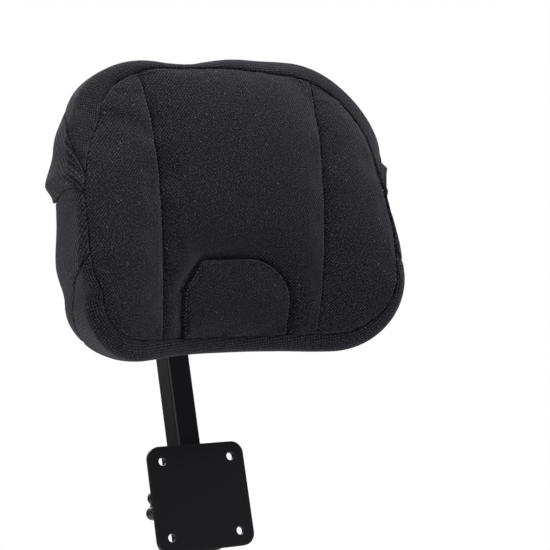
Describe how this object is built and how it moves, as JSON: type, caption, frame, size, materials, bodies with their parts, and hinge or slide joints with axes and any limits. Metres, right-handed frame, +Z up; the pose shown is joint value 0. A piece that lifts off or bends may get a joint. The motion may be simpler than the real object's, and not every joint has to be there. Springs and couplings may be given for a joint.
{
  "type": "chair headrest attachment",
  "caption": "Padded headrest in a dark knitted cover with side channels and a raised neck cushion, on a rectangular stem that slides, sets fore and aft, tilts, and bolts to a chair's back.",
  "frame": {"origin": "middle of the receiver's four bolt holes, on the face that meets the chair's back", "axes": "+Z up along the stem, +Y backwards, +X to the side that the depth knob is on"},
  "size_m": [0.2892, 0.2426, 0.4407],
  "materials": {
    "black_powder_coat": "satin powder coat on steel",
    "black_anodised": "matt black anodised",
    "black_plate_steel": "matt powder coat on steel",
    "glide_plastic": "moulded nylon",
    "washer_plastic": "natural nylon",
    "knob_plastic": "fine-grained moulded plastic",
    "brass": "turned",
    "zinc_steel": "bright zinc plate",
    "plywood": "sanded birch plywood",
    "foam": "open-cell polyurethane foam",
    "knit_cover": "fine ribbed spacer knit, charcoal black",
    "rear_cover": "plain knit, charcoal black",
    "binding_tape": "woven binding tape",
    "hook_and_loop": "hook-and-loop tape"
  },
  "bodies": {
    "receiver": {"receiver_plate": "black_powder_coat", "receiver_sleeve": "black_powder_coat", "receiver_boss": "black_powder_coat", "upper_glide": "glide_plastic", "lower_glide": "glide_plastic", "pressure_pad": "brass"},
    "height_clamp": {"height_knob": "knob_plastic", "height_knob_stud": "zinc_steel"},
    "stem": {"stem_tube": "black_powder_coat", "stem_foot_cap": "glide_plastic", "head_block": "black_anodised", "head_screw": "zinc_steel", "head_nut": "zinc_steel"},
    "depth_clamp": {"depth_knob": "knob_plastic", "depth_knob_stud": "zinc_steel"},
    "arm": {"depth_bar": "black_anodised", "tail_cap": "knob_plastic", "tail_screw": "zinc_steel"},
    "tilt_clamp": {"tilt_lever": "knob_plastic"},
    "pad": {"hinge_ears": "black_plate_steel", "friction_washers": "washer_plastic", "hinge_pin": "zinc_steel", "pad_plate": "black_plate_steel", "plate_screws": "zinc_steel", "tee_nuts": "zinc_steel", "backing_board": "plywood", "foam_block": "foam", "side_foam_left": "foam", "side_foam_right": "foam", "centre_foam": "foam", "neck_foam": "foam", "front_panel_centre": "knit_cover", "neck_panel": "knit_cover", "front_panel_left": "knit_cover", "front_panel_right": "knit_cover", "top_band": "knit_cover", "bottom_band": "knit_cover", "rear_hood": "rear_cover", "rear_flap": "rear_cover", "hood_binding": "binding_tape", "loop_strips": "hook_and_loop", "hook_strips": "hook_and_loop"}
  },
  "joints": [
    {"name": "height_slide", "type": "slide", "parent": "receiver", "child": "stem", "axis": [0, 0, 1], "range_m": [-0.04, 0.075]},
    {"name": "height_clamp_turn", "type": "hinge", "parent": "receiver", "child": "height_clamp", "pos_m": [0, 0.0211, 0], "axis": [0, 1, 0], "range_deg": [0, 360]},
    {"name": "depth_slide", "type": "slide", "parent": "stem", "child": "arm", "axis": [0, -1, 0], "range_m": [-0.015, 0.027]},
    {"name": "depth_clamp_turn", "type": "hinge", "parent": "stem", "child": "depth_clamp", "pos_m": [0, 0.0211, 0.22], "axis": [1, 0, 0], "range_deg": [0, 360]},
    {"name": "pad_tilt", "type": "hinge", "parent": "arm", "child": "pad", "pos_m": [0, -0.0556, 0.22], "axis": [1, 0, 0], "range_deg": [-25, 22]},
    {"name": "tilt_clamp_turn", "type": "hinge", "parent": "pad", "child": "tilt_clamp", "pos_m": [0, -0.0556, 0.22], "axis": [-1, 0, 0], "range_deg": [0, 75]}
  ]
}
